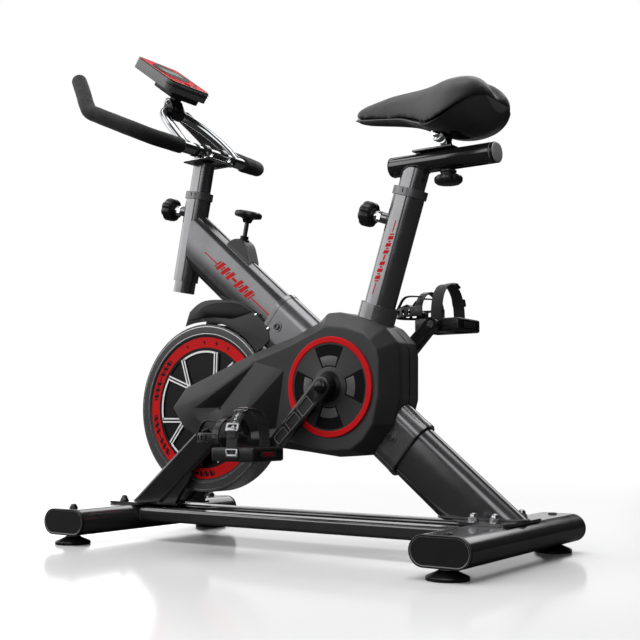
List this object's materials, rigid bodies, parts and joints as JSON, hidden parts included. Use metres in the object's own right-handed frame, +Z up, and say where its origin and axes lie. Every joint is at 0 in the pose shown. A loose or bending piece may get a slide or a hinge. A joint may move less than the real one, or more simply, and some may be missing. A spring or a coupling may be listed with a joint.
{
  "type": "indoor spin bike",
  "caption": "Belt-driven indoor exercise bike with an enclosed side cover, weighted front flywheel, friction brake knob, looped handlebar, sliding saddle and levelling feet.",
  "frame": {"origin": "on the floor, on the symmetry plane, under the middle of the overall length", "axes": "+Z up, +X towards the rear (saddle end), -X towards the front (flywheel and handlebar end), +Y to the rider's right, so the side with the left crank is -Y"},
  "size_m": [0.9752, 0.4922, 1.049],
  "materials": {
    "gloss_black": "gloss black powder coat",
    "plastic_black": "satin moulded black",
    "plastic_grey": "satin dark grey, fine moulded texture",
    "chrome": "polished",
    "steel": "zinc plated",
    "cast_iron": "dark painted casting with a turned rim",
    "red_plastic": "gloss red",
    "rubber": "matt black",
    "grip_foam": "dense closed-cell foam",
    "saddle_vinyl": "satin dark grey synthetic leather",
    "webbing": "woven nylon webbing",
    "felt": "pressed wool felt"
  },
  "bodies": {
    "frame": {"front_stabilizer": "gloss_black", "rear_stabilizer": "gloss_black", "left_base_rail": "gloss_black", "right_base_rail": "gloss_black", "main_beam": "gloss_black", "center_frame_node": "gloss_black", "rear_strut": "gloss_black", "front_fork": "gloss_black", "head_sleeve": "gloss_black", "seat_sleeve": "gloss_black", "front_left_end_cap": "plastic_black", "front_right_end_cap": "plastic_black", "rear_left_end_cap": "plastic_black", "rear_right_end_cap": "plastic_black", "head_collar": "plastic_black", "seat_collar": "plastic_black", "brake_housing": "plastic_black", "left_belt_cover": "plastic_grey", "right_belt_cover": "plastic_grey", "flywheel_fender": "plastic_grey", "bottom_bracket": "steel", "drive_belt": "rubber"},
    "flywheel": {"flywheel": "cast_iron", "flywheel_axle": "steel", "flywheel_pulley": "steel"},
    "crank": {"drive_pulley": "plastic_black", "crank_axle": "steel", "left_crank_disc": "plastic_grey", "left_crank": "gloss_black", "right_crank": "gloss_black", "left_pedal_spindle": "steel", "right_pedal_spindle": "steel"},
    "left_pedal": {"left_pedal_body": "plastic_black", "left_toe_cage": "plastic_black", "left_toe_strap": "webbing"},
    "right_pedal": {"right_pedal_body": "plastic_black", "right_toe_cage": "plastic_black", "right_toe_strap": "webbing"},
    "handlebar": {"handlebar_post": "gloss_black", "handlebar_clamp": "plastic_black", "handlebar": "chrome", "left_grip": "grip_foam", "right_grip": "grip_foam", "monitor_bracket": "plastic_black"},
    "monitor": {"monitor_housing": "plastic_black"},
    "monitor_button": {"monitor_button": "red_plastic"},
    "seat_post": {"seat_post": "gloss_black"},
    "saddle_carriage": {"saddle_carriage": "steel"},
    "saddle": {"saddle_bracket": "chrome", "saddle_cushion": "saddle_vinyl", "saddle_base": "plastic_black"},
    "slider_lock_knob": {"slider_lock_knob": "plastic_black"},
    "head_pin": {"head_pin_knob": "plastic_black"},
    "seat_pin": {"seat_pin_knob": "plastic_black"},
    "resistance_knob": {"resistance_knob": "plastic_black"},
    "brake_pad": {"brake_pad": "felt"},
    "front_left_foot": {"front_left_leveling_foot": "rubber"},
    "front_right_foot": {"front_right_leveling_foot": "rubber"},
    "rear_left_foot": {"rear_left_leveling_foot": "rubber"},
    "rear_right_foot": {"rear_right_leveling_foot": "rubber"}
  },
  "joints": [
    {"name": "flywheel_spin", "type": "hinge", "parent": "frame", "child": "flywheel", "pos_m": [-0.229, 0, 0.273], "axis": [0, 1, 0], "continuous": true},
    {"name": "crank_spin", "type": "hinge", "parent": "frame", "child": "crank", "pos_m": [0.118, 0, 0.309], "axis": [0, 1, 0], "continuous": true},
    {"name": "left_pedal_spin", "type": "hinge", "parent": "crank", "child": "left_pedal", "pos_m": [-0.00574, -0.161, 0.18526], "axis": [0, 1, 0], "continuous": true},
    {"name": "right_pedal_spin", "type": "hinge", "parent": "crank", "child": "right_pedal", "pos_m": [0.24174, 0.161, 0.43274], "axis": [0, 1, 0], "continuous": true},
    {"name": "resistance_knob_turn", "type": "hinge", "parent": "frame", "child": "resistance_knob", "pos_m": [-0.18128, 0, 0.45859], "axis": [0.2062, 0, 0.9785], "range_deg": [0, 1080]},
    {"name": "brake_pad_press", "type": "slide", "parent": "frame", "child": "brake_pad", "axis": [-0.2062, 0, -0.9785], "range_m": [0, 0.003]},
    {"name": "handlebar_height", "type": "slide", "parent": "frame", "child": "handlebar", "axis": [0.1961, 0, 0.9806], "range_m": [-0.05, 0.14]},
    {"name": "head_pin_pull", "type": "slide", "parent": "frame", "child": "head_pin", "axis": [-0.9806, 0, 0.1961], "range_m": [0, 0.009]},
    {"name": "monitor_tilt", "type": "hinge", "parent": "handlebar", "child": "monitor", "pos_m": [-0.34969, 0, 0.94759], "axis": [0, 1, 0], "range_deg": [-15, 15]},
    {"name": "monitor_button_press", "type": "slide", "parent": "monitor", "child": "monitor_button", "axis": [-0.5879, 0, -0.8089], "range_m": [0, 0.001]},
    {"name": "seat_height", "type": "slide", "parent": "frame", "child": "seat_post", "axis": [0.3091, 0, 0.951], "range_m": [-0.008, 0.16]},
    {"name": "seat_pin_pull", "type": "slide", "parent": "frame", "child": "seat_pin", "axis": [-0.951, 0, 0.3091], "range_m": [0, 0.009]},
    {"name": "saddle_fore_aft", "type": "slide", "parent": "seat_post", "child": "saddle_carriage", "axis": [1, 0, 0], "range_m": [-0.012, 0.07]},
    {"name": "slider_lock_knob_turn", "type": "hinge", "parent": "saddle_carriage", "child": "slider_lock_knob", "pos_m": [0.332, 0, 0.6905], "axis": [0, 0, 1], "range_deg": [0, 360]},
    {"name": "saddle_tilt", "type": "hinge", "parent": "saddle_carriage", "child": "saddle", "pos_m": [0.319, 0, 0.77], "axis": [0, 1, 0], "range_deg": [-12, 12]},
    {"name": "front_left_foot_turn", "type": "hinge", "parent": "frame", "child": "front_left_foot", "pos_m": [-0.4113, -0.212, 0], "axis": [0, 0, 1], "range_deg": [0, 720]},
    {"name": "front_right_foot_turn", "type": "hinge", "parent": "frame", "child": "front_right_foot", "pos_m": [-0.4113, 0.212, 0], "axis": [0, 0, 1], "range_deg": [0, 720]},
    {"name": "rear_left_foot_turn", "type": "hinge", "parent": "frame", "child": "rear_left_foot", "pos_m": [0.4333, -0.212, 0], "axis": [0, 0, 1], "range_deg": [0, 720]},
    {"name": "rear_right_foot_turn", "type": "hinge", "parent": "frame", "child": "rear_right_foot", "pos_m": [0.4333, 0.212, 0], "axis": [0, 0, 1], "range_deg": [0, 720]}
  ],
  "couplings": [
    {"joint": "crank_spin", "follows": "flywheel_spin", "ratio": 0.38461},
    {"joint": "brake_pad_press", "follows": "resistance_knob_turn", "m_per_rad": 0.00015915}
  ]
}
